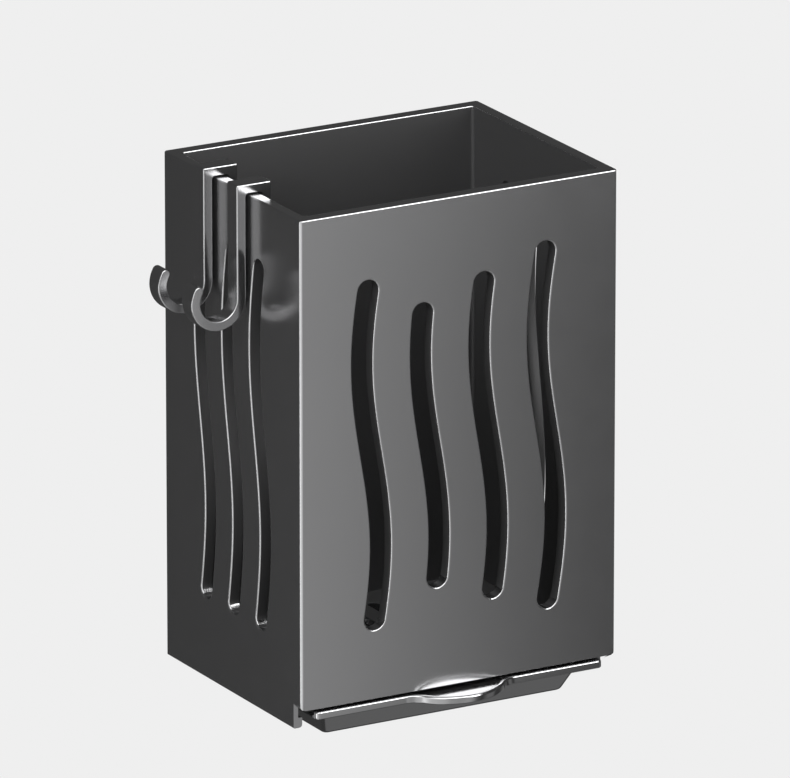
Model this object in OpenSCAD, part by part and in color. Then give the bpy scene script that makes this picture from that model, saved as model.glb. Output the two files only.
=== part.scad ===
// Chopstick holder with wave slots, a pull-out drip tray and two hooks over its left rim.
// Millimetres. +Z is up, -Y is the front. The origin is under the middle of the body,
// on the flat underside of the tray's tub, which is the lowest face.

/* [Holder body] */
// Width of the body, left to right
body_w = 85; // [76:1:100]
// Depth of the body, front to back
body_d = 66; // [60:1:80]
// Height of the body, from the foot of its skirts to the rim
body_h = 125; // [110:1:150]
// Thickness of the front and back walls
wall_fb = 3.4; // [3:0.1:3.8]
// Thickness of the side walls
wall_side = 2.9; // [2.5:0.1:3.2]
// Radius of the upright outer corners
corner_r = 0.8; // [0.4:0.1:1.6]
// Radius of the upright inner corners
inner_r = 0.8; // [0.4:0.1:2]
// Height of the front panel's lower edge over the foot of the skirts
panel_rise = 5.2; // [5:0.1:7]
// Radius of the front panel's lower corners
panel_corner_r = 1.2; // [0.6:0.1:2]
// Thickness of the drain floor
floor_t = 2.4; // [1.6:0.1:4]

/* [Wave slots] */
// Width of the front slots
front_slot_w = 5.5; // [4:0.1:7]
// Width of the side slots
side_slot_w = 4.9; // [4:0.1:6]
// Distance from the front panel's edges to the ends of the tallest slots
slot_margin = 14.6; // [10:0.1:22]
// How far the waves swing to each side
wave_swing = 2.5; // [1:0.1:3.5]
// Distance between the front slots
front_pitch = 15.7; // [14:0.1:18]
// How much each front slot, from the left, stops short of the tallest at both ends
front_short = [2.4, 10.1, 5, 0]; // [0:0.1:14]
// Distance between the side slots
side_pitch = 13.3; // [12:0.1:16]

/* [Drain floor] */
// Width of a drain slot
drain_w = 3; // [2:0.1:3.8]
// Distance between drain slots
drain_pitch = 7.6; // [6:0.1:9]
// Number of drain slots
drain_count = 9; // [5:2:9]
// Distance from the inside of the walls to the ends of the drain slots
drain_margin = 7; // [5:0.5:12]

/* [Skirts and rails] */
// How far the left skirt stops behind the front face
notch_left = 3.7; // [3.5:0.1:8]
// How far the right skirt stops behind the front face
notch_right = 6.8; // [4:0.1:10]
// How much the wall's lower edge rises from the front panel to the end of a skirt
notch_rise = 1; // [0.2:0.1:1.6]
// Thickness of the ledge that carries the tray
ledge_t = 2.3; // [1.8:0.1:2.5]
// Height of the ledge
ledge_h = 2.5; // [1.8:0.1:2.8]
// Thickness of the skirt that is left beside the groove
groove_wall = 1.2; // [0.9:0.1:1.4]
// Radius of the ledge's lower edge
ledge_r = 0.8; // [0.3:0.1:1]
// Depth of the step low on the back
back_step = 0.3; // [0.1:0.1:0.6]
// Height of the step low on the back
back_step_h = 6.6; // [5:0.1:10]

/* [Hanging keyholes] */
// Diameter of a keyhole's round entry
key_d = 8; // [7:0.5:9]
// Width of a keyhole's upper slot
key_slot_w = 4.2; // [3.4:0.1:5]
// Rise of a keyhole's upper slot over its entry
key_rise = 6; // [5:0.5:9]
// Distance between the two keyholes
key_pitch = 44; // [30:1:56]
// Depth of the keyholes' entries below the rim
key_drop = 36; // [34:1:50]

/* [Drip tray] */
// Thickness of the tray's flange
flange_t = 1.9; // [1.5:0.1:2.2]
// How far the flange's front stands proud of the front panel
flange_proud = 0.7; // [0.3:0.1:2]
// Gap between the flange's visible ends and the outer faces of the body
flange_inset = 3.7; // [3:0.1:6]
// Radius of the flange's front corners
flange_corner_r = 1.2; // [0.6:0.1:2]
// How far the wider runners start behind the front panel's face
runner_back = 9; // [8:0.5:14]
// Running clearance round the tray
tray_clear = 0.2; // [0.15:0.05:0.3]
// Drop of the tub's underside below the skirts
tub_drop = 4.2; // [3:0.1:8]
// Distance from the body's outer sides to the top of the tub's sides
tub_side = 7.6; // [7:0.1:10]
// Distance from the front panel's face to the top of the tub's front
tub_front = 3.5; // [3.2:0.1:6]
// Distance from the body's back to the top of the tub's back
tub_back = 7; // [6:0.1:10]
// How much the tub's sides and back lean in towards its underside
tub_lean = 2.6; // [1:0.1:4]
// How much the tub's front leans in towards its underside
tub_lean_front = 3.9; // [1:0.1:5]
// Radius of the tub's upright corners
tub_corner_r = 1.5; // [1:0.1:4]
// Thickness of the tub's wall
tub_wall = 1.5; // [1.2:0.1:2]

/* [Finger lip] */
// How far the lip reaches out of the flange's front
lip_out = 6.8; // [4:0.1:9]
// Radius of the lip
lip_r = 14.5; // [12:0.5:20]
// Radius that blends the lip into the flange
lip_blend_r = 5; // [3:0.1:7]
// Width of the rim round the lip's hollow
lip_rim = 1.2; // [0.9:0.1:2.5]
// Depth of the lip's hollow
lip_hollow = 0.45; // [0.3:0.05:0.8]

/* [Hooks] */
// Width of a hook's strip
hook_w = 4.8; // [4:0.1:6]
// Thickness of a hook's strip
hook_t = 2.4; // [2:0.1:3]
// Gap between a hook's legs and the side wall
hook_gap = 0.7; // [0.3:0.1:1]
// Gap between a hook's top bar and the rim
hook_seat = 0.2; // [0.1:0.05:0.3]
// Outer radius of a hook's bend
hook_r = 7.25; // [6:0.05:9]
// Drop from the rim to the middle of a hook's bend
hook_drop = 24.8; // [20:0.1:32]
// How far the bend goes on past its half turn, in degrees
hook_past = 30; // [10:1:44]
// Length of the leg inside the wall, below the rim
hook_inner = 12; // [8:0.5:18]
// Radius inside a hook's square corners
hook_inside_r = 0.7; // [0.4:0.1:1]
// Distance from the body's middle to the middle of the rear hook
hook_rear_y = 10.1; // [8:0.1:16]
// Distance from the body's middle to the middle of the front hook
hook_front_y = -6; // [-16:0.1:-4]

/* [Hidden] */
$fn = 64;

// How far a cut runs past the face that it opens
over = 1;

// Thickness of the flat outlines that a leaning block is stretched between
sliver = 0.01;
hull_fn = 32;

// Heights, all from the underside of the tub
foot_z = tub_drop;
rim_z = foot_z + body_h;
panel_z = foot_z + panel_rise;
floor_z = panel_z + floor_t;
ledge_z = foot_z + ledge_h;
flange_z = ledge_z + tray_clear;
tray_top = flange_z + flange_t;

// Half sizes of the body and its hollow
half_w = body_w / 2;
half_d = body_d / 2;
inner_w = half_w - wall_side;
inner_d = half_d - wall_fb;

// Wave slots, centred on the front panel
slot_mid_z = (panel_z + rim_z) / 2;
slot_len = rim_z - panel_z - 2 * slot_margin;
wave_steps = 24;
end_steps = 12;

// How far a wave line swings at height h over the slots' middle, and its lean there
function wave(h) = -wave_swing * sin(360 * h / slot_len);
function wave_lean(h) = atan(-wave_swing * 2 * PI / slot_len * cos(360 * h / slot_len));

// A point at distance r from the wave line's point at height h, at angle t round it
function edge_point(r, h, t) =
    [wave(h), h] + r * [cos(t - wave_lean(h)), sin(t - wave_lean(h))];

// Outline of a wave slot of a given length and width, drawn upright, with round ends
module wave_slot(length, width) {
    r = width / 2;
    reach = length / 2 - r;
    rise = [for (i = [0:wave_steps]) -reach + 2 * reach * i / wave_steps];
    turn = [for (i = [1:end_steps - 1]) 180 * i / end_steps];
    polygon(concat(
        [for (h = rise) edge_point(r, h, 0)],
        [for (t = turn) edge_point(r, reach, t)],
        [for (h = rise) edge_point(r, -h, 180)],
        [for (t = turn) edge_point(r, -reach, 180 + t)]
    ));
}

// A rectangle with round corners, centred
module round_plate(w, d, r) {
    square([w - 2 * r, d], center = true);
    square([w, d - 2 * r], center = true);
    for (x = [-1, 1], y = [-1, 1])
        translate([x * (w / 2 - r), y * (d / 2 - r)]) circle(r);
}

// Stands a flat outline up, facing the front, and cuts it through a wall at y
module through_front(y, depth) {
    translate([0, y + depth, 0]) rotate([90, 0, 0]) linear_extrude(depth) children();
}

// The same for the side walls: the outline's left becomes the back
module through_sides() {
    translate([-half_w - over, 0, 0]) rotate([90, 0, 0]) rotate([0, -90, 0])
        mirror([0, 0, 1]) linear_extrude(body_w + 2 * over) children();
}

module front_slots() {
    for (i = [0:3])
        translate([(i - 1.5) * front_pitch, 0, slot_mid_z])
            through_front(-half_d - over, wall_fb + 2 * over)
                wave_slot(slot_len - 2 * front_short[i], front_slot_w);
}

module side_slots() {
    for (i = [-1:1])
        translate([0, i * side_pitch, slot_mid_z]) through_sides() wave_slot(slot_len, side_slot_w);
}

module drain_slots() {
    length = 2 * inner_d - 2 * drain_margin;
    for (i = [0:drain_count - 1])
        translate([(i - (drain_count - 1) / 2) * drain_pitch, 0, panel_z - over])
            linear_extrude(floor_t + 2 * over) {
                square([drain_w, length - drain_w], center = true);
                for (side = [-1, 1])
                    translate([0, side * (length - drain_w) / 2]) circle(d = drain_w);
            }
}

// Round entry with a narrower slot above it, right through the back wall
module keyhole() {
    rotate([-90, 0, 0]) cylinder(d = key_d, h = wall_fb + 2 * over);
    translate([0, 0, key_rise]) rotate([-90, 0, 0])
        cylinder(d = key_slot_w, h = wall_fb + 2 * over);
    translate([-key_slot_w / 2, 0, 0]) cube([key_slot_w, wall_fb + 2 * over, key_rise]);
}

// What is cut away in front of a skirt, seen from the side: the wall's lower edge rises to the skirt
module front_notch(side, depth) {
    back = depth - half_d;
    front = -half_d - over;
    translate([side < 0 ? -half_w - over : half_w - ledge_t, 0, 0]) rotate([90, 0, 90])
        linear_extrude(ledge_t + over) polygon([[front, foot_z - over], [back, foot_z - over],
            [back, panel_z + notch_rise], [-half_d, panel_z], [front, panel_z]]);
}

// Rounds a lower corner of the front panel, seen from the front, as deep as its notch
module panel_corner(side, depth) {
    r = panel_corner_r;
    mirror([side < 0 ? 1 : 0, 0, 0]) through_front(-half_d - over, depth + over)
        translate([half_w - r, panel_z]) difference() {
            translate([0, -over]) square([r + over, r + over]);
            translate([0, r]) circle(r);
        }
}

// Room for the tray between the skirts, seen from the front
module bay_plan() {
    bay_w = body_w - 2 * ledge_t;
    groove_w = body_w - 2 * groove_wall;
    translate([-bay_w / 2, foot_z - over]) square([bay_w, panel_rise + over]);
    translate([-groove_w / 2, ledge_z]) square([groove_w, panel_z - ledge_z]);
    for (side = [-1, 1])
        translate([side * bay_w / 2, foot_z]) difference() {
            square(2 * ledge_r, center = true);
            translate([side * ledge_r, ledge_r]) circle(ledge_r);
        }
}

module tray_bay() {
    through_front(-half_d - over, half_d + inner_d + over) bay_plan();
}

module holder_body() {
    color([0.2, 0.2, 0.21]) difference() {
        translate([0, 0, foot_z]) linear_extrude(body_h)
            round_plate(body_w, body_d, corner_r);
        translate([0, 0, floor_z]) linear_extrude(body_h)
            round_plate(2 * inner_w, 2 * inner_d, inner_r);
        tray_bay();
        front_notch(-1, notch_left);
        front_notch(1, notch_right);
        panel_corner(-1, notch_left);
        panel_corner(1, notch_right);
        front_slots();
        side_slots();
        drain_slots();
        for (side = [-1, 1])
            translate([side * key_pitch / 2, inner_d - over, rim_z - key_drop]) keyhole();
        translate([-half_w - over, half_d - back_step, foot_z - over])
            cube([body_w + 2 * over, back_step + over, back_step_h + over]);
    }
}

// Sizes of the tray
flange_w = body_w - 2 * flange_inset;
flange_y = -half_d - flange_proud;
runner_w = body_w - 2 * groove_wall - 2 * tray_clear;
runner_y = -half_d + runner_back;
tray_back_y = inner_d - tray_clear;
tub_w = body_w - 2 * tub_side;
tub_front_y = -half_d + tub_front;
tub_back_y = half_d - tub_back;

// Points on an arc, from one angle to another
function arc_points(centre, r, from, to, steps) =
    [for (i = [0:steps]) let (a = from + (to - from) * i / steps) centre + r * [cos(a), sin(a)]];

// Half the angle of the lip's arc between its blends, and half the distance between their centres
lip_turn = acos((lip_r - lip_out + lip_blend_r) / (lip_r + lip_blend_r));
lip_reach = (lip_r + lip_blend_r) * sin(lip_turn);
lip_steps = 32;
blend_steps = 8;

// The lip seen from above, with y = 0 on the flange's front edge
module lip_plan() {
    bulge = arc_points([0, lip_r - lip_out], lip_r, 270 - lip_turn, 270 + lip_turn, lip_steps);
    polygon(concat(
        [[-lip_reach, over]],
        arc_points([-lip_reach, -lip_blend_r], lip_blend_r, 90, 90 - lip_turn, blend_steps),
        [for (i = [1:lip_steps - 1]) bulge[i]],
        arc_points([lip_reach, -lip_blend_r], lip_blend_r, 90 + lip_turn, 90, blend_steps),
        [[lip_reach, over]]
    ));
}

// The flange from above: a narrower front that shows, and runners in the grooves
module flange_plan() {
    front_d = runner_y - flange_y;
    translate([0, flange_y + front_d / 2]) round_plate(flange_w, front_d, flange_corner_r);
    translate([-flange_w / 2, flange_y + flange_corner_r])
        square([flange_w, front_d]);
    translate([-runner_w / 2, runner_y]) square([runner_w, tray_back_y - runner_y]);
    translate([0, flange_y]) lip_plan();
}

// A block that narrows downwards along the tub's walls, or inside them by inset
module lean_block(inset, low_z, high_z) {
    r = tub_corner_r;
    hull() for (z = [low_z, high_z]) {
        share = 1 - z / flange_z;
        side_x = tub_w / 2 - inset - tub_lean * share;
        front_y = tub_front_y + inset + tub_lean_front * share;
        back_y = tub_back_y - inset - tub_lean * share;
        for (x = [r - side_x, side_x - r], y = [front_y + r, back_y - r])
            translate([x, y, z]) cylinder(r = r, h = sliver, $fn = hull_fn);
    }
}

module drip_tray() {
    color([0.22, 0.22, 0.23]) difference() {
        union() {
            translate([0, 0, flange_z]) linear_extrude(flange_t) flange_plan();
            lean_block(0, 0, flange_z);
        }
        lean_block(tub_wall, tub_wall, tray_top + sliver);
        translate([0, flange_y, tray_top - lip_hollow]) linear_extrude(lip_hollow + over)
            intersection() {
                translate([0, lip_r - lip_out]) circle(lip_r - lip_rim);
                translate([-lip_r, -lip_r]) square([2 * lip_r, lip_r + tub_front + flange_proud]);
            }
    }
}

// A hook seen from the front, with its origin on the wall's outer face at the rim
module hook_plan() {
    bar_left = -hook_gap - hook_t;
    bar_right = wall_side + hook_gap + hook_t;
    bend = [-hook_gap - hook_r, -hook_drop];
    middle_r = hook_r - hook_t / 2;
    translate([bar_left, hook_seat]) square([bar_right - bar_left, hook_t]);
    translate([bar_left, -hook_drop]) square([hook_t, hook_drop + hook_seat + over]);
    translate([bar_right - hook_t, -hook_inner + hook_t / 2])
        square([hook_t, hook_inner - hook_t / 2 + hook_seat + over]);
    translate([bar_right - hook_t / 2, -hook_inner + hook_t / 2]) circle(d = hook_t);
    translate(bend) difference() {
        circle(hook_r);
        circle(hook_r - hook_t);
        polygon([[2 * hook_r, 0], [2 * hook_r, 2 * hook_r], [-2 * hook_r, 2 * hook_r],
            [-2 * hook_r, 2 * hook_r * tan(hook_past)], [0, 0]]);
    }
    translate(bend + middle_r * [-cos(hook_past), sin(hook_past)]) circle(d = hook_t);
    for (side = [-1, 1])
        translate([side < 0 ? -hook_gap : wall_side + hook_gap, hook_seat]) difference() {
            translate([side < 0 ? -over : -hook_inside_r, -hook_inside_r])
                square([hook_inside_r + over, hook_inside_r + over]);
            translate([-side * hook_inside_r, -hook_inside_r]) circle(hook_inside_r);
        }
}

module hook(y) {
    color([0.24, 0.24, 0.25]) translate([-half_w, y + hook_w / 2, rim_z]) rotate([90, 0, 0])
        linear_extrude(hook_w) hook_plan();
}

module hook_rear() {
    hook(hook_rear_y);
}

module hook_front() {
    hook(hook_front_y);
}

holder_body();
drip_tray();
hook_rear();
hook_front();
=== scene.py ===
"""Chopstick holder of plastic with a gunmetal coat: the looks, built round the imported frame.

Sizes below are millimetres, and each mesh is scaled to metres once it is finished.
+X is right, -Y is the front, +Z is up, and z = 0 is the underside of the tray's tub.
In names, w is a width, d a depth or diameter, h a height, t a thickness and r a radius.
"""
import math

import bmesh
import bpy
from mathutils import Matrix, Vector


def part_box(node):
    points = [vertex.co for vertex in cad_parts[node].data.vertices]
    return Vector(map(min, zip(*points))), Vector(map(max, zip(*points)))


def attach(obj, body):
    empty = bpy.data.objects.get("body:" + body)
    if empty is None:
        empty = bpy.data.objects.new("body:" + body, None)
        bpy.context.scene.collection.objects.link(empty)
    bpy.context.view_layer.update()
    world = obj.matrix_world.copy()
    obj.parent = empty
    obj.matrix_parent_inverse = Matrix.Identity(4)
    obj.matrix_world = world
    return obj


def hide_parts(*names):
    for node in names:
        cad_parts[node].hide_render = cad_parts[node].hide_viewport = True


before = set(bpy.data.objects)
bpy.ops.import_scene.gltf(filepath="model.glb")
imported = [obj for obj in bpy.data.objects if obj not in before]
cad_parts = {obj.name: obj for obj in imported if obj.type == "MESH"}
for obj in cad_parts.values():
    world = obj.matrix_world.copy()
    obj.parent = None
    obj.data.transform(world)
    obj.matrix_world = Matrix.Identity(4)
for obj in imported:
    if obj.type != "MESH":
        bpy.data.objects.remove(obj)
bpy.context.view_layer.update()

MM = 0.001


# Sizes that the frame gives

def node_box(node):
    """The lowest and the highest corner of a node's box."""
    lo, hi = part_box(node)
    return lo / MM, hi / MM


body_lo, body_hi = node_box("holder_body")
half_w = body_hi.x
half_d = body_hi.y
foot_z = body_lo.z
rim_z = body_hi.z

# Sizes of the body
wall_fb = 3.4  # front and back walls
wall_side = 2.9  # side walls
inner_r = 0.8  # the hollow's upright corners
panel_rise = 5.2  # from the skirts' feet to the front panel's lower edge
panel_corner_r = 1.2  # the front panel's lower corners
floor_t = 2.4
inner_w = half_w - wall_side  # half the hollow's width
inner_d = half_d - wall_fb  # half the hollow's depth
panel_z = foot_z + panel_rise
floor_z = panel_z + floor_t

# Sizes of the skirts and of the step low on the back
notch_left = 3.7  # how far the left skirt stops behind the front face
notch_right = 6.8
notch_depth = {-1: notch_left, 1: notch_right}
notch_rise = 1.0  # rise of the wall's lower edge from the front panel to the end of a skirt
ledge_t = 2.3
ledge_h = 2.5
groove_wall = 1.2  # what is left of a skirt beside its groove
back_step = 0.3
back_step_h = 6.6

# Sizes of the slots
front_slot_w = 5.5
side_slot_w = 4.9
slot_margin = 14.6  # from the front panel's edges to the ends of the tallest slots
wave_swing = 2.5  # how far the waves swing to each side
front_pitch = 15.7
front_short = [2.4, 10.1, 5.0, 0.0]  # what each front slot, from the left, is shorter by at both ends
side_pitch = 13.3
slot_mid_z = (panel_z + rim_z) / 2
slot_len = rim_z - panel_z - 2 * slot_margin
drain_w = 3.0
drain_pitch = 7.6
drain_count = 9
drain_margin = 7.0  # from the inside of the walls to the ends of the drain slots

# Sizes of the keyholes
key_d = 8.0  # the round entry
key_slot_w = 4.2  # the slot over the entry
key_rise = 6.0  # from an entry's middle to the middle of its slot's round end
key_pitch = 44.0
key_drop = 36.0  # from the rim to the entries' middles

# Sizes of the tray
tray_clear = 0.2
flange_t = 1.9
flange_proud = 0.7  # how far the flange stands in front of the front panel
flange_inset = 3.7  # from the body's sides to the flange's ends
flange_corner_r = 1.2
runner_back = 9.0  # how far behind the front face the wider runners start
tub_side = 7.6  # from the body's sides to the top of the tub's sides
tub_front = 3.5
tub_back = 7.0
tub_lean = 2.6  # how far the tub's sides and back lean in on the way down
tub_lean_front = 3.9
tub_corner_r = 1.5
tub_wall = 1.5
lip_out = 6.8  # how far the lip reaches out of the flange
lip_r = 14.5
lip_blend_r = 5.0
lip_rim = 1.2  # width of the raised rim round the lip's hollow
lip_hollow = 0.45
ledge_z = foot_z + ledge_h
flange_z = ledge_z + tray_clear
tray_top = flange_z + flange_t
flange_half = half_w - flange_inset
flange_y = -half_d - flange_proud
runner_half = half_w - groove_wall - tray_clear
runner_y = -half_d + runner_back
tray_back_y = inner_d - tray_clear
tub_half = half_w - tub_side
tub_front_y = -half_d + tub_front
tub_back_y = half_d - tub_back
lip_middle_y = flange_y + lip_r - lip_out

# Sizes of the hooks
hook_t = 2.4
hook_gap = 0.7  # between the strip and the wall, on both sides of the wall
hook_seat = 0.2  # between the strip and the rim
hook_r = 7.25  # outside of the bend
hook_drop = 24.8  # from the rim to the bend's middle
hook_past = 30.0  # degrees that the bend goes on past a half turn
hook_inner = 12.0  # how far the inner leg reaches below the rim
hook_inside_r = 0.7

# Rounding of the edges
corner_flat = 0.49  # the flat along each upright corner of the outside
corner_turn = 0.12  # each of the two steps that round an end of that flat
rim_r = 0.32
ledge_r = 0.8
slot_edge_r = 0.4
right_edge_r = 0.2  # the right wall's slots, on the outside
lower_edge_r = 0.1  # edges at the height of the front panel's lower edge
inner_edge_r = 0.2
tray_edge_r = 0.45
tub_edge_r = 0.9
bead_edge_r = 0.42  # the edge between the lip's raised rim and its hollow
lip_edge_r = 0.7
hollow_edge_r = 0.08
foot_edge_r = 0.3  # edges at the flange's underside
hook_edge_r = 0.36

# How finely and how closely the meshes are made
round_steps = 48
half_steps = round_steps // 2
quarter_steps = round_steps // 4
wave_steps = 60
bevel_steps = 4
sharp_angle = 30  # a larger angle between two faces is an edge to round
smooth_angle = 32  # a larger angle between two faces is not shaded smooth
flat_angle = 0.05  # a smaller angle between two faces makes them one
over = 1.0  # how far a cutting solid runs past what it cuts
near = 0.03  # places that are closer than this are the same place
cut_join = 0.002  # points of a fresh cut that are closer than this are joined
round_join = 0.004  # the same after the edges are rounded


# Outlines, as lists of (u, v)

def arc(centre, radius, start, end, steps):
    """Points on an arc, with angles in degrees and both ends given."""
    angles = [math.radians(start + (end - start) * i / steps) for i in range(steps + 1)]
    return [(centre[0] + radius * math.cos(a), centre[1] + radius * math.sin(a)) for a in angles]


def oblong(u0, v0, u1, v1):
    return [(u0, v0), (u1, v0), (u1, v1), (u0, v1)]


def round_oblong(u0, v0, u1, v1, r):
    """An oblong whose corners are quarter circles."""
    centres = [(u1 - r, v1 - r), (u0 + r, v1 - r), (u0 + r, v0 + r), (u1 - r, v0 + r)]
    points = []
    for i, centre in enumerate(centres):
        points += arc(centre, r, 90 * i, 90 * (i + 1), quarter_steps)
    return points


def flat_cornered(u1, v1):
    """An oblong round (0, 0), whose corners have a flat at 45 degrees with a small rounding at each end.

    A corner has five short sides, and the outline turns by 15 degrees before and after each of them.
    """
    lengths = [corner_turn, corner_turn, corner_flat, corner_turn, corner_turn]
    headings = [math.radians(a) for a in (105, 120, 135, 150, 165)]
    legs = [(length * math.cos(a), length * math.sin(a)) for length, a in zip(lengths, headings)]
    points = [(0.0, -sum(leg[1] for leg in legs))]
    for leg in legs:
        points.append((points[-1][0] + leg[0], points[-1][1] + leg[1]))
    return ([(u1 + u, v1 + v) for u, v in points] + [(-u1 - v, v1 + u) for u, v in points]
            + [(-u1 - u, -v1 - v) for u, v in points] + [(u1 + v, -v1 - u) for u, v in points])


def wave_outline(length, width, centre, swing_sign=1):
    """A wave slot's outline: a sine line with a constant width and round ends."""
    reach = length / 2 - width / 2

    def swing(h):
        return -swing_sign * wave_swing * math.sin(2 * math.pi * h / slot_len)

    def lean(h):
        slope = -swing_sign * wave_swing * 2 * math.pi / slot_len * math.cos(2 * math.pi * h / slot_len)
        return math.atan(slope)

    def edge(h, turn):
        a = math.radians(turn) - lean(h)
        return (centre[0] + swing(h) + width / 2 * math.cos(a),
                centre[1] + h + width / 2 * math.sin(a))

    rise = [-reach + 2 * reach * i / wave_steps for i in range(wave_steps + 1)]
    turns = [360 * i / round_steps for i in range(1, half_steps)]
    return ([edge(h, 0) for h in rise] + [edge(reach, t) for t in turns]
            + [edge(-h, 180) for h in rise] + [edge(-reach, 180 + t) for t in turns])


# Solids

# Where the point (u, v) of an outline lies, at the place w along an axis
AXES = {
    "X": lambda u, v, w: (w, u, v),
    "Y": lambda u, v, w: (u, w, v),
    "Z": lambda u, v, w: (u, v, w),
}


def add_loft(bm, rings):
    """Adds a closed solid whose sides join rings of points, with a flat cap at each end."""
    loops = [[bm.verts.new(p) for p in ring] for ring in rings]
    count = len(loops[0])
    faces = [bm.faces.new(list(reversed(loops[0]))), bm.faces.new(loops[-1])]
    for low, high in zip(loops, loops[1:]):
        for i in range(count):
            j = (i + 1) % count
            faces.append(bm.faces.new((low[i], low[j], high[j], high[i])))
    bmesh.ops.recalc_face_normals(bm, faces=faces)


def prism(outline, axis, start, end):
    """The two end rings of an outline stretched along an axis."""
    place = AXES[axis]
    return [[place(u, v, w) for u, v in outline] for w in (start, end)]


def block(lo, hi):
    return prism(oblong(lo[0], lo[1], hi[0], hi[1]), "Z", lo[2], hi[2])


def solid(name, *lofts):
    """A new object made of closed solids, each given by its rings."""
    bm = bmesh.new()
    for rings in lofts:
        add_loft(bm, rings)
    mesh = bpy.data.meshes.new(name)
    bm.to_mesh(mesh)
    bm.free()
    obj = bpy.data.objects.new(name, mesh)
    bpy.context.scene.collection.objects.link(obj)
    return obj


def apply_modifiers(obj):
    """Makes what the modifiers give obj's own mesh."""
    graph = bpy.context.evaluated_depsgraph_get()
    mesh = bpy.data.meshes.new_from_object(obj.evaluated_get(graph))
    mesh.name = obj.name
    obj.modifiers.clear()
    obj.data = mesh


def clean(obj, dist):
    """Joins points that lie within dist of each other, and takes away what has no area."""
    bm = bmesh.new()
    bm.from_mesh(obj.data)
    bmesh.ops.remove_doubles(bm, verts=bm.verts, dist=dist)
    bmesh.ops.dissolve_degenerate(bm, edges=bm.edges, dist=dist)
    bm.to_mesh(obj.data)
    bm.free()


def combine(obj, operation, *lofts):
    """Adds solids to obj, or takes them away, and cleans the result."""
    tool = solid("tool", *lofts)
    step = obj.modifiers.new("step", "BOOLEAN")
    step.operation = operation
    step.solver = "EXACT"
    step.object = tool
    apply_modifiers(obj)
    bpy.data.objects.remove(tool)
    clean(obj, cut_join)


def at(value, *targets):
    """Whether value is the same place as one of the targets."""
    return any(abs(value - t) < near for t in targets)


def round_edges(obj, radius_at):
    """Rounds each sharp edge by the radius that radius_at(middle) gives for the edge's middle.

    The radius is given as a share of the largest one, because an edge's weight runs from 0 to 1.
    """
    largest = 1.5
    bm = bmesh.new()
    bm.from_mesh(obj.data)
    bmesh.ops.dissolve_limit(bm, angle_limit=math.radians(flat_angle), verts=bm.verts, edges=bm.edges)
    weights = bm.edges.layers.float.new("bevel_weight_edge")
    for edge in bm.edges:
        if len(edge.link_faces) != 2 or edge.calc_face_angle(0) < math.radians(sharp_angle):
            continue
        a, b = (v.co for v in edge.verts)
        edge[weights] = radius_at((a + b) / 2) / largest
    bm.to_mesh(obj.data)
    bm.free()
    bevel = obj.modifiers.new("round", "BEVEL")
    bevel.width = largest
    bevel.limit_method = "WEIGHT"
    bevel.segments = bevel_steps
    bevel.use_clamp_overlap = False
    bevel.miter_outer = "MITER_ARC"
    apply_modifiers(obj)
    clean(obj, round_join)


def add_rings(obj, heights):
    """Cuts obj's faces at some heights, so that the shading of a long face stays even along it."""
    bm = bmesh.new()
    bm.from_mesh(obj.data)
    for z in heights:
        bmesh.ops.bisect_plane(bm, geom=bm.verts[:] + bm.edges[:] + bm.faces[:],
                               plane_co=(0, 0, z), plane_no=(0, 0, 1))
    bm.to_mesh(obj.data)
    bm.free()


def finish_mesh(obj):
    """Shades obj smooth with flat faces kept flat, and turns its millimetres into metres."""
    mesh = obj.data
    mesh.transform(Matrix.Scale(MM, 4))
    mesh.shade_smooth()
    mesh.set_sharp_from_angle(angle=math.radians(smooth_angle))
    weighted = obj.modifiers.new("flat_faces", "WEIGHTED_NORMAL")
    weighted.keep_sharp = True
    weighted.weight = 100
    apply_modifiers(obj)


# The holder's body

def body_radius(middle):
    """How much an edge of the body is rounded, from the edge's middle."""
    x, y, z = abs(middle.x), middle.y, middle.z
    skirt_y = notch_depth[-1 if middle.x < 0 else 1] - half_d
    if at(z, rim_z):
        return rim_r
    if at(x, half_w - ledge_t) and at(z, foot_z):
        return ledge_r
    # The notch in front of a skirt stays sharp
    before_skirt = -half_d + near < y < skirt_y + near and z < panel_z + panel_corner_r
    if before_skirt and x > half_w - ledge_t - near:
        return 0.0
    # The right wall's slots are rounded on the outside only
    if middle.x > inner_w - near and z > floor_z:
        return right_edge_r if at(x, half_w) else 0.0
    if at(z, panel_z):
        return lower_edge_r
    if at(y, -half_d) or at(x, half_w):
        return slot_edge_r
    return inner_edge_r


def panel_corner(side):
    """What is cut off to round a lower corner of the front panel."""
    r = panel_corner_r
    centre_x = half_w - r
    curve = arc((centre_x, panel_z + r), r, -90, 0, quarter_steps)
    past = [(half_w + over, panel_z + r), (half_w + over, panel_z - over), (centre_x, panel_z - over)]
    outline = [(side * u, v) for u, v in curve + past]
    return prism(outline, "Y", -half_d - over, notch_depth[side] - half_d)


def cut_tray_bay(body):
    """Opens the space for the tray between the skirts, under the panel and the floor."""
    bay = half_w - ledge_t
    groove = half_w - groove_wall
    front = -half_d - over
    combine(body, "DIFFERENCE", block((-bay, front, foot_z - over), (bay, inner_d, panel_z)))
    combine(body, "DIFFERENCE", block((-groove, front, ledge_z), (groove, inner_d, panel_z)))
    for side, depth in notch_depth.items():
        x0, x1 = sorted((side * bay, side * (half_w + over)))
        back = depth - half_d
        outline = [(front, foot_z - over), (back, foot_z - over), (back, panel_z + notch_rise),
                   (-half_d, panel_z), (front, panel_z)]
        combine(body, "DIFFERENCE", prism(outline, "X", x0, x1))
        combine(body, "DIFFERENCE", panel_corner(side))
    step = block((-half_w - over, half_d - back_step, foot_z - over),
                 (half_w + over, half_d + over, foot_z + back_step_h))
    combine(body, "DIFFERENCE", step)


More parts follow.
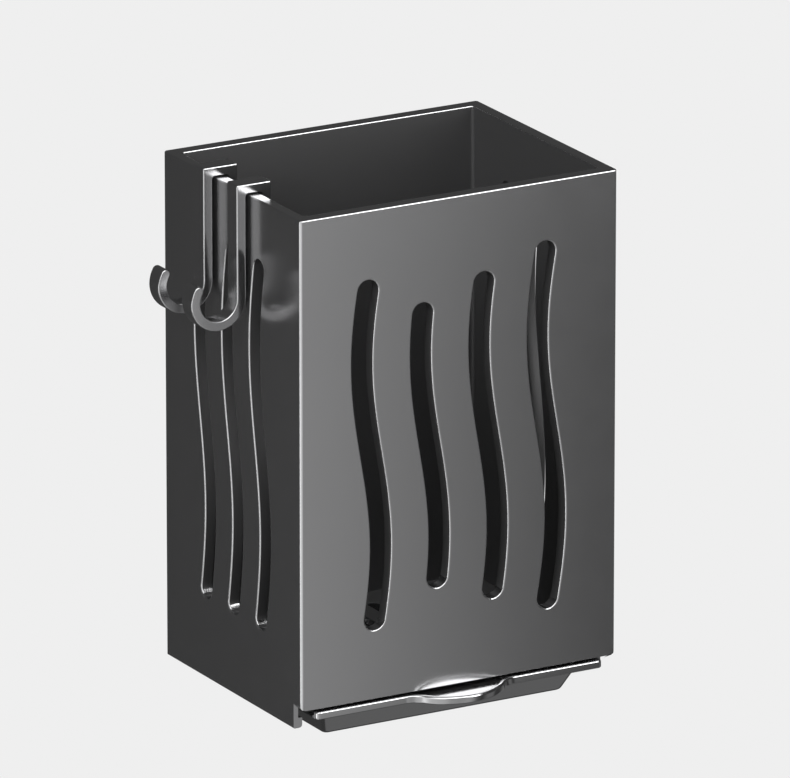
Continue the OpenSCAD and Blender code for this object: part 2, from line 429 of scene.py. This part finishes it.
def front_slots():
    slots = []
    for i, short in enumerate(front_short):
        centre = ((i - (len(front_short) - 1) / 2) * front_pitch, slot_mid_z)
        outline = wave_outline(slot_len - 2 * short, front_slot_w, centre)
        slots.append(prism(outline, "Y", -half_d - over, -inner_d + over))
    return slots


def side_slots():
    """The side walls' slots, each cut through both walls at once."""
    slots = []
    for i in (-1, 0, 1):
        outline = wave_outline(slot_len, side_slot_w, (i * side_pitch, slot_mid_z), swing_sign=-1)
        slots.append(prism(outline, "X", -half_w - over, half_w + over))
    return slots


def drain_slots():
    reach = inner_d - drain_margin - drain_w / 2
    slots = []
    for i in range(drain_count):
        x = (i - (drain_count - 1) / 2) * drain_pitch
        outline = (arc((x, reach), drain_w / 2, 0, 180, half_steps)
                   + arc((x, -reach), drain_w / 2, 180, 360, half_steps))
        slots.append(prism(outline, "Z", panel_z - over, floor_z + over))
    return slots


def keyholes():
    """Round entries, each with a narrower slot that rises from it.

    The spread is half the angle that a slot opens in its entry's circle.
    """
    spread = math.degrees(math.asin(key_slot_w / key_d))
    holes = []
    for side in (-1, 1):
        x = side * key_pitch / 2
        z = rim_z - key_drop
        outline = (arc((x, z), key_d / 2, 90 + spread, 450 - spread, round_steps)
                   + arc((x, z + key_rise), key_slot_w / 2, 0, 180, half_steps))
        holes.append(prism(outline, "Y", inner_d - over, half_d + over))
    return holes


def build_body():
    outside = flat_cornered(half_w, half_d)
    inside = round_oblong(-inner_w, -inner_d, inner_w, inner_d, inner_r)
    body = solid("body_shell", prism(outside, "Z", foot_z, rim_z))
    combine(body, "DIFFERENCE", prism(inside, "Z", floor_z, rim_z + over))
    cut_tray_bay(body)
    combine(body, "DIFFERENCE", *front_slots(), *side_slots(), *drain_slots(), *keyholes())
    round_edges(body, body_radius)
    add_rings(body, (panel_z + 2 * panel_corner_r, rim_z - 2 * rim_r))
    finish_mesh(body)
    return body


# The drip tray

def lip_arcs():
    """The lip's outer edge: two blends into the flange, and the bulge between them."""
    rise = lip_r - lip_out
    reach = math.sqrt((lip_r + lip_blend_r) ** 2 - (rise + lip_blend_r) ** 2)
    angle = math.degrees(math.atan2(rise + lip_blend_r, reach))
    blend_y = flange_y - lip_blend_r
    left = arc((-reach, blend_y), lip_blend_r, 90, angle, quarter_steps)
    bulge = arc((0, lip_middle_y), lip_r, 180 + angle, 360 - angle, round_steps)
    right = arc((reach, blend_y), lip_blend_r, 180 - angle, 90, quarter_steps)
    return left + bulge[1:-1] + right


def flange_outline():
    """The flange, the lip and the runners from above."""
    r = flange_corner_r
    left = arc((-flange_half + r, flange_y + r), r, 180, 270, quarter_steps)
    right = arc((flange_half - r, flange_y + r), r, 270, 360, quarter_steps)
    back = [(flange_half, runner_y), (runner_half, runner_y), (runner_half, tray_back_y),
            (-runner_half, tray_back_y), (-runner_half, runner_y), (-flange_half, runner_y)]
    return left + lip_arcs() + right + back


def hollow_outline():
    """The lip's hollow from above: the part of a circle that lies in front of the tub's inside."""
    reach = lip_r - lip_rim
    back_y = tub_front_y + tub_wall
    half = math.degrees(math.asin((back_y - lip_middle_y) / reach))
    return arc((0, lip_middle_y), reach, 180 - half, 360 + half, round_steps)


def tub_ring(z, inset):
    """The outline of the tub's leaning walls at a height, drawn in by inset."""
    share = 1 - z / flange_z
    side = tub_half - inset - tub_lean * share
    front = tub_front_y + inset + tub_lean_front * share
    back = tub_back_y - inset - tub_lean * share
    return [(u, v, z) for u, v in round_oblong(-side, front, side, back, tub_corner_r)]


def tray_radius(middle):
    """How much an edge of the tray is rounded, from the edge's middle."""
    if at(middle.z, 0, tub_wall):
        return tub_edge_r
    if at(middle.z, flange_z):
        return foot_edge_r
    if at(middle.z, tray_top - lip_hollow):
        return hollow_edge_r
    reach = math.hypot(middle.x, middle.y - lip_middle_y)
    if at(reach, lip_r - lip_rim):
        return bead_edge_r
    if at(reach, lip_r) and middle.y < flange_y - near:
        return lip_edge_r
    return tray_edge_r


def build_tray():
    tray = solid("tray_shell", prism(flange_outline(), "Z", flange_z, tray_top))
    combine(tray, "UNION", [tub_ring(0, 0), tub_ring(flange_z + flange_t / 2, 0)])
    combine(tray, "DIFFERENCE", [tub_ring(tub_wall, tub_wall), tub_ring(tray_top + over, tub_wall)])
    combine(tray, "DIFFERENCE", prism(hollow_outline(), "Z", tray_top - lip_hollow, tray_top + over))
    round_edges(tray, tray_radius)
    finish_mesh(tray)
    return tray


# The hooks

def hook_outline():
    """A hook seen from the front, round its strip in one turn."""
    leg_in = -half_w - hook_gap
    leg_out = -half_w - hook_gap - hook_t
    clip_in = -half_w + wall_side + hook_gap
    clip_out = clip_in + hook_t
    bend = (leg_in - hook_r, rim_z - hook_drop)
    middle_r = hook_r - hook_t / 2
    end = math.radians(180 - hook_past)
    tip = (bend[0] + middle_r * math.cos(end), bend[1] + middle_r * math.sin(end))
    foot = rim_z - hook_inner + hook_t / 2
    low = rim_z + hook_seat
    high = rim_z + hook_seat + hook_t
    r = hook_inside_r
    outer = arc(bend, hook_r, 0, -180 - hook_past, round_steps)
    cap = arc(tip, hook_t / 2, 180 - hook_past, -hook_past, half_steps)
    inner = arc(bend, hook_r - hook_t, -180 - hook_past, 0, round_steps)
    return (outer + cap[1:-1] + inner + [(leg_out, high), (clip_out, high)]
            + arc((clip_out - hook_t / 2, foot), hook_t / 2, 0, -180, half_steps)
            + arc((clip_in - r, low - r), r, 0, 90, quarter_steps)
            + arc((leg_in + r, low - r), r, 90, 180, quarter_steps))


def build_hook(name, node):
    """A hook as wide as its node, and where its node is along the rim."""
    lo, hi = node_box(node)
    hook = solid(name, prism(hook_outline(), "Y", lo.y, hi.y))
    round_edges(hook, lambda middle: hook_edge_r)
    finish_mesh(hook)
    return hook


# Materials

# How metallic the coat is outside, and in its darker copy that paints shade on the hollow and the slots' cut
# faces: the rest of its light is spread by the plastic's own grey
COAT_METAL = 0.92
PAINTED_SHADE_METAL = 0.12
SHADE = (0.42, 0.42, 0.425)
# Painted shade: a darker grey for the hollow and the slots' cut faces
PAINTED_SHADE_GREY = (0.14, 0.14, 0.142)
PLASTIC_IOR = 1.5
GLOSS_ROUGH = 0.19
TRAY_ROUGH = 0.14
SATIN_ROUGH = 0.42

# How much the colour, as a share, and the roughness vary
TINT_SPREAD = 0.02
ROUGH_SPREAD = 0.008

# Scale and detail of the noise behind the colour, the roughness and the skin, with scales per metre
TINT_NOISE = (45, 3)
ROUGH_NOISE = (160, 4)
SKIN_NOISE = (1400, 5)
NOISE_RANGE = (0.3, 0.7)
SKIN_STRENGTH = 0.03
SKIN_DEPTH = 0.05

# Where each material starts in the noise, in metres for a seed of 1
SEED_SHIFT = (1.0, 0.7, 0.3)


def add_node(tree, kind, **values):
    made = tree.nodes.new(kind)
    for name, value in values.items():
        setattr(made, name, value)
    return made


def plastic(name, shade, metal, rough, seed):
    """Plastic with a gunmetal coat: a faint mottle in colour and gloss, and a fine skin."""
    material = bpy.data.materials.new(name)
    material.use_nodes = True
    tree = material.node_tree
    shader = tree.nodes["Principled BSDF"]
    shader.inputs["IOR"].default_value = PLASTIC_IOR
    shader.inputs["Metallic"].default_value = metal
    place = add_node(tree, "ShaderNodeTexCoord")
    shift = add_node(tree, "ShaderNodeMapping")
    shift.inputs["Location"].default_value = [seed * s for s in SEED_SHIFT]
    tree.links.new(place.outputs["Object"], shift.inputs["Vector"])

    def noise(scale, detail):
        made = add_node(tree, "ShaderNodeTexNoise")
        made.inputs["Scale"].default_value = scale
        made.inputs["Detail"].default_value = detail
        tree.links.new(shift.outputs["Vector"], made.inputs["Vector"])
        return made.outputs["Fac"]

    tint = add_node(tree, "ShaderNodeMix", data_type="RGBA")
    tint.inputs["A"].default_value = (*[c * (1 - TINT_SPREAD) for c in shade], 1)
    tint.inputs["B"].default_value = (*[c * (1 + TINT_SPREAD) for c in shade], 1)
    tree.links.new(noise(*TINT_NOISE), tint.inputs["Factor"])
    tree.links.new(tint.outputs["Result"], shader.inputs["Base Color"])
    gloss = add_node(tree, "ShaderNodeMapRange")
    gloss.inputs["From Min"].default_value = NOISE_RANGE[0]
    gloss.inputs["From Max"].default_value = NOISE_RANGE[1]
    gloss.inputs["To Min"].default_value = rough - ROUGH_SPREAD
    gloss.inputs["To Max"].default_value = rough + ROUGH_SPREAD
    tree.links.new(noise(*ROUGH_NOISE), gloss.inputs["Value"])
    tree.links.new(gloss.outputs["Result"], shader.inputs["Roughness"])
    skin = add_node(tree, "ShaderNodeBump")
    skin.inputs["Strength"].default_value = SKIN_STRENGTH
    skin.inputs["Distance"].default_value = SKIN_DEPTH * MM
    tree.links.new(noise(*SKIN_NOISE), skin.inputs["Height"])
    tree.links.new(skin.outputs["Normal"], shader.inputs["Normal"])
    return material


def dress(obj, materials, body, node):
    """Gives obj its materials, hangs it on the empty of the body it rides on, and hides the imported part of
    its node.
    """
    obj.data.materials.clear()
    for material in materials:
        obj.data.materials.append(material)
    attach(obj, body)
    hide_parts(node)


def mark_painted_shade(body):
    """Gives the second material, a darker and less shiny copy of the coat that paints shade, to the hollow
    and to the slots' cut faces, but for the slots' lower ends.
    """
    wide = (half_w - slot_edge_r - near) * MM
    deep = (half_d - slot_edge_r - near) * MM
    hollow_wide = (inner_w + near) * MM
    hollow_deep = (inner_d + near) * MM
    low = (floor_z - inner_edge_r - near) * MM
    high = (rim_z - rim_r - near) * MM
    facing_up = 0.4
    for face in body.data.polygons:
        x, y, z = face.center
        in_wall = abs(x) > hollow_wide or abs(y) > hollow_deep
        if in_wall and face.normal.z > facing_up:
            continue
        if abs(x) < wide and abs(y) < deep and low < z < high:
            face.material_index = 1


def build_holder():
    """The four pieces, dressed."""
    body = build_body()
    coat = plastic("body_plastic", SHADE, COAT_METAL, GLOSS_ROUGH, 0.0)
    # A darker, less metallic copy of the coat paints shade inside the hollow and the slots
    painted_shade_coat = plastic("body_inside_painted_shade", PAINTED_SHADE_GREY, PAINTED_SHADE_METAL, SATIN_ROUGH, 0.6)
    dress(body, [coat, painted_shade_coat], "body", "holder_body")
    mark_painted_shade(body)
    tray_coat = plastic("tray_plastic", SHADE, COAT_METAL, TRAY_ROUGH, 1.3)
    dress(build_tray(), [tray_coat], "tray", "drip_tray")
    hook_coat = plastic("hook_plastic", SHADE, COAT_METAL, GLOSS_ROUGH, 2.1)
    for place in ("rear", "front"):
        hook = build_hook(f"hook_{place}_strip", f"hook_{place}")
        dress(hook, [hook_coat], f"{place}_hook", f"hook_{place}")


# Stage, lights and camera

# The backdrop's level shows as a pale grey, 239 of 255
BACKDROP_LEVEL = 0.863
WORLD_LEVEL = 0.07

# Where the light cards in front stand, and two more just behind their plane
CARD_Y = -332.0
FAR_CARD_Y = CARD_Y - 10


def opaque(grey):
    return (grey, grey, grey, 1)


def glow_material(name, stops, level):
    """A surface that glows by level times the grey of the stops, which are (x in mm, grey)."""
    material = bpy.data.materials.new(name)
    material.use_nodes = True
    tree = material.node_tree
    tree.nodes.clear()
    output = add_node(tree, "ShaderNodeOutputMaterial")
    glow = add_node(tree, "ShaderNodeEmission")
    glow.inputs["Strength"].default_value = level
    tree.links.new(glow.outputs["Emission"], output.inputs["Surface"])
    first, first_grey = stops[0]
    last, last_grey = stops[-1]
    if len(stops) == 1:
        glow.inputs["Color"].default_value = opaque(first_grey)
        return material
    place = add_node(tree, "ShaderNodeTexCoord")
    split = add_node(tree, "ShaderNodeSeparateXYZ")
    share = add_node(tree, "ShaderNodeMapRange")
    ramp = add_node(tree, "ShaderNodeValToRGB")
    share.inputs["From Min"].default_value = first * MM
    share.inputs["From Max"].default_value = last * MM
    elements = ramp.color_ramp.elements
    elements[0].color = opaque(first_grey)
    elements[-1].color = opaque(last_grey)
    for x, grey in stops[1:-1]:
        elements.new((x - first) / (last - first)).color = opaque(grey)
    tree.links.new(place.outputs["Object"], split.inputs["Vector"])
    tree.links.new(split.outputs["X"], share.inputs["Value"])
    tree.links.new(share.outputs["Result"], ramp.inputs["Fac"])
    tree.links.new(ramp.outputs["Color"], glow.inputs["Color"])
    return material


def stage_mesh(name, corners, faces, stops, level, seen_by_camera):
    """A glowing mesh of the studio: either a backdrop that only the camera sees, or a light card."""
    mesh = bpy.data.meshes.new(name)
    mesh.from_pydata([[c * MM for c in corner] for corner in corners], [], faces)
    mesh.materials.append(glow_material(name, stops, level))
    sheet = bpy.data.objects.new(name, mesh)
    bpy.context.scene.collection.objects.link(sheet)
    sheet.visible_camera = seen_by_camera
    sheet.visible_glossy = not seen_by_camera
    for kind in ("visible_diffuse", "visible_transmission", "visible_volume_scatter", "visible_shadow"):
        setattr(sheet, kind, False)


def build_backdrop():
    """An even pale room round everything, so that the holder shows on the same grey from every side."""
    half = 15000.0
    corners = [(x, y, z) for x in (-half, half) for y in (-half, half) for z in (-half, half)]
    faces = [(0, 1, 3, 2), (4, 5, 7, 6), (0, 1, 5, 4), (2, 3, 7, 6), (0, 2, 6, 4), (1, 3, 7, 5)]
    stage_mesh("backdrop", corners, faces, [(0, 1.0)], BACKDROP_LEVEL, True)


def light_card(name, corners, level, stops=((0, 1.0),)):
    stage_mesh(name, corners, [range(len(corners))], stops, level, False)


def upright(x0, y0, x1, y1, z0, z1):
    """The corners of an upright card that runs from (x0, y0) to (x1, y1)."""
    return [(x0, y0, z0), (x0, y0, z1), (x1, y1, z1), (x1, y1, z0)]


def front_card(x0, x1, z0, z1, y=CARD_Y):
    return upright(x0, y, x1, y, z0, z1)


def build_cards():
    """Cards that show only in what is shiny. In the photo's view the panel mirrors soft_left's right end."""
    light_card("soft_left", front_card(-900, 270, -400, 80), 3.0,
               [(-900, 1.0), (-700, 0.6), (-450, 0.34), (-250, 0.3), (-150, 0.27), (-100, 0.2), (0, 0.18),
                (60, 0.2), (90, 0.21), (127, 0.1715), (212, 0.038), (270, 0.04)])
    light_card("edge_left", upright(-900, CARD_Y, -620, -90, -400, 80), 3.4)
    light_card("left_high", front_card(-900, -150, 80, 600, FAR_CARD_Y), 1.8)
    light_card("left_low", front_card(-900, -150, -1200, -400, FAR_CARD_Y), 1.2)
    light_card("soft_high", front_card(115, 260, 108, 300), 8.0)
    light_card("soft_middle", front_card(-260, 115, 170, 300), 3.5)
    light_card("soft_over",
               [(-260, CARD_Y, 300), (290, CARD_Y, 300), (400, -200, 480), (-360, -200, 480)], 4.0)
    light_card("soft_under",
               [(-100, -320, -300), (420, -320, -300), (420, -20, -300), (-100, -20, -300)], 0.24)
    light_card("side_right", upright(270, CARD_Y, 640, -150, -330, -20), 0.25,
               [(270, 0.1), (400, 1.0), (560, 1.0), (640, 0.3)])
    light_card("side_left", upright(-600, -60, -600, 250, -260, 60), 0.3)
    light_card("back_right", upright(335, 370, 520, 40, -330, 40), 0.3,
               [(335, 0.3), (400, 1.0), (520, 0.3)])
    light_card("back_left", upright(-490, 120, -360, 340, -330, 20), 0.7)


def aim(obj, target):
    back = obj.location - Vector(target)
    obj.rotation_mode = "QUATERNION"
    obj.rotation_quaternion = back.to_track_quat("Z", "Y")


def area_light(name, place_mm, target_mm, size_mm, power):
    """A square light that shows only in what is matt, as the cards do in what is shiny."""
    data = bpy.data.lights.new(name, "AREA")
    data.shape = "RECTANGLE"
    data.size = size_mm * MM
    data.size_y = size_mm * MM
    data.energy = power
    light = bpy.data.objects.new(name, data)
    light.location = Vector(place_mm) * MM
    aim(light, Vector(target_mm) * MM)
    light.visible_camera = False
    light.visible_glossy = False
    bpy.context.scene.collection.objects.link(light)


def build_world():
    world = bpy.data.worlds.new("studio")
    world.use_nodes = True
    background = world.node_tree.nodes["Background"]
    background.inputs["Color"].default_value = (1, 1, 1, 1)
    background.inputs["Strength"].default_value = WORLD_LEVEL
    bpy.context.scene.world = world


def build_camera():
    """The photo's view: from far off to the left and above, with a long lens."""
    azimuth = math.radians(-29.56)
    elevation = math.radians(17.69)
    distance = 2989.4
    focal_px = 12676.6
    frame_px = 790
    sensor = 36.0
    target = Vector((1.37, 0, foot_z + 68.42))
    back = Vector((math.sin(azimuth) * math.cos(elevation),
                   -math.cos(azimuth) * math.cos(elevation), math.sin(elevation)))
    data = bpy.data.cameras.new("camera")
    data.sensor_width = sensor
    data.lens = focal_px / frame_px * sensor
    data.clip_start = 0.1
    data.clip_end = 100
    camera = bpy.data.objects.new("camera", data)
    camera.location = (target + back * distance) * MM
    aim(camera, target * MM)
    bpy.context.scene.collection.objects.link(camera)
    bpy.context.scene.camera = camera


build_holder()
build_backdrop()
build_world()
build_cards()
area_light("top", (-60, -60, 600), (0, 0, 100), 300, 0.5)
area_light("fill", (-480, -200, 430), (0, 0, 110), 300, 0.85)
build_camera()
bpy.context.scene.view_settings.view_transform = "Standard"
